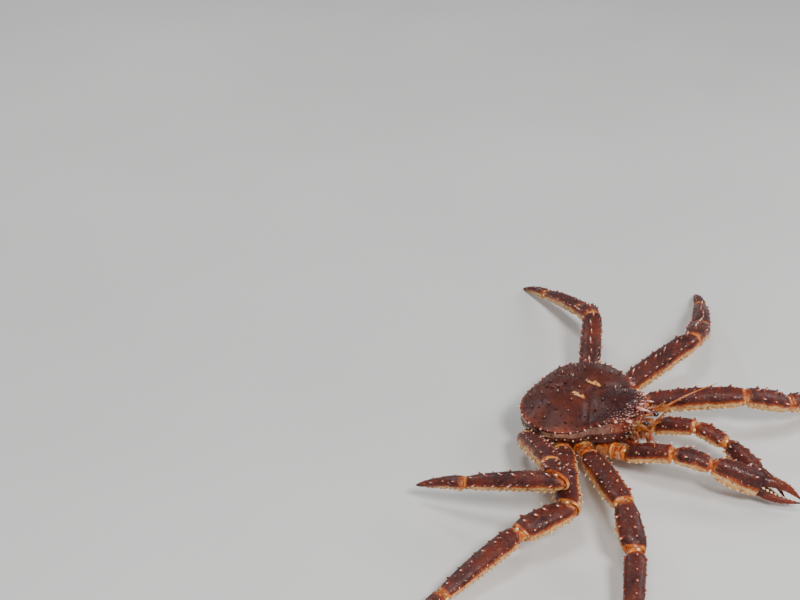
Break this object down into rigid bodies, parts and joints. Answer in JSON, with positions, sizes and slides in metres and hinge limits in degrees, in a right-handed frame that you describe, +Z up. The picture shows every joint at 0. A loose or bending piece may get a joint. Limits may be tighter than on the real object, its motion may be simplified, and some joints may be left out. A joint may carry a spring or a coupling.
{
  "type": "red king crab",
  "caption": "Life-size red king crab resting on its belly and leg tips, spiny domed shell, long jointed legs spread out, claws reaching forward.",
  "frame": {"origin": "the point of the belly on the floor below the middle of the shell", "axes": "+Z up from the floor, the crab faces -Y, its left side is +X and its right side is -X"},
  "size_m": [0.9353, 0.5998, 0.1054],
  "materials": {
    "carapace": "wet dark maroon shell",
    "thorax": "wet tan and orange shell",
    "abdomen": "pale cream shell plates",
    "limb": "wet purple-brown shell with pale spines",
    "claw": "wet purple-brown shell with pale spines",
    "feeler": "orange feelers",
    "eyestalk": "pale red eyestalk",
    "eye": "glossy black"
  },
  "bodies": {
    "root": {"carapace": "carapace", "thorax": "thorax", "abdomen": "abdomen", "right_claw_hip": "claw", "right_claw_merus": "claw", "right_claw_carpus": "claw", "right_claw_palm": "claw", "right_claw_finger": "claw", "right_leg_2_hip": "limb", "right_leg_2_merus": "limb", "right_leg_2_carpus": "limb", "right_leg_2_propodus": "limb", "right_leg_2_dactyl": "limb", "right_leg_3_hip": "limb", "right_leg_3_merus": "limb", "right_leg_3_carpus": "limb", "right_leg_3_propodus": "limb", "right_leg_3_dactyl": "limb", "right_leg_4_hip": "limb", "right_leg_4_merus": "limb", "right_leg_4_carpus": "limb", "right_leg_4_propodus": "limb", "right_leg_4_dactyl": "limb", "right_eyestalk": "eyestalk", "right_eye": "eye", "right_antenna": "feeler", "right_antennule": "feeler", "right_mouth_leg": "limb", "left_claw_hip": "claw", "left_claw_merus": "claw", "left_claw_carpus": "claw", "left_claw_palm": "claw", "left_claw_finger": "claw", "left_leg_2_hip": "limb", "left_leg_2_merus": "limb", "left_leg_2_carpus": "limb", "left_leg_2_propodus": "limb", "left_leg_2_dactyl": "limb", "left_leg_3_hip": "limb", "left_leg_3_merus": "limb", "left_leg_3_carpus": "limb", "left_leg_3_propodus": "limb", "left_leg_3_dactyl": "limb", "left_leg_4_hip": "limb", "left_leg_4_merus": "limb", "left_leg_4_carpus": "limb", "left_leg_4_propodus": "limb", "left_leg_4_dactyl": "limb", "left_eyestalk": "eyestalk", "left_eye": "eye", "left_antenna": "feeler", "left_antennule": "feeler", "left_mouth_leg": "limb"}
  },
  "joints": []
}
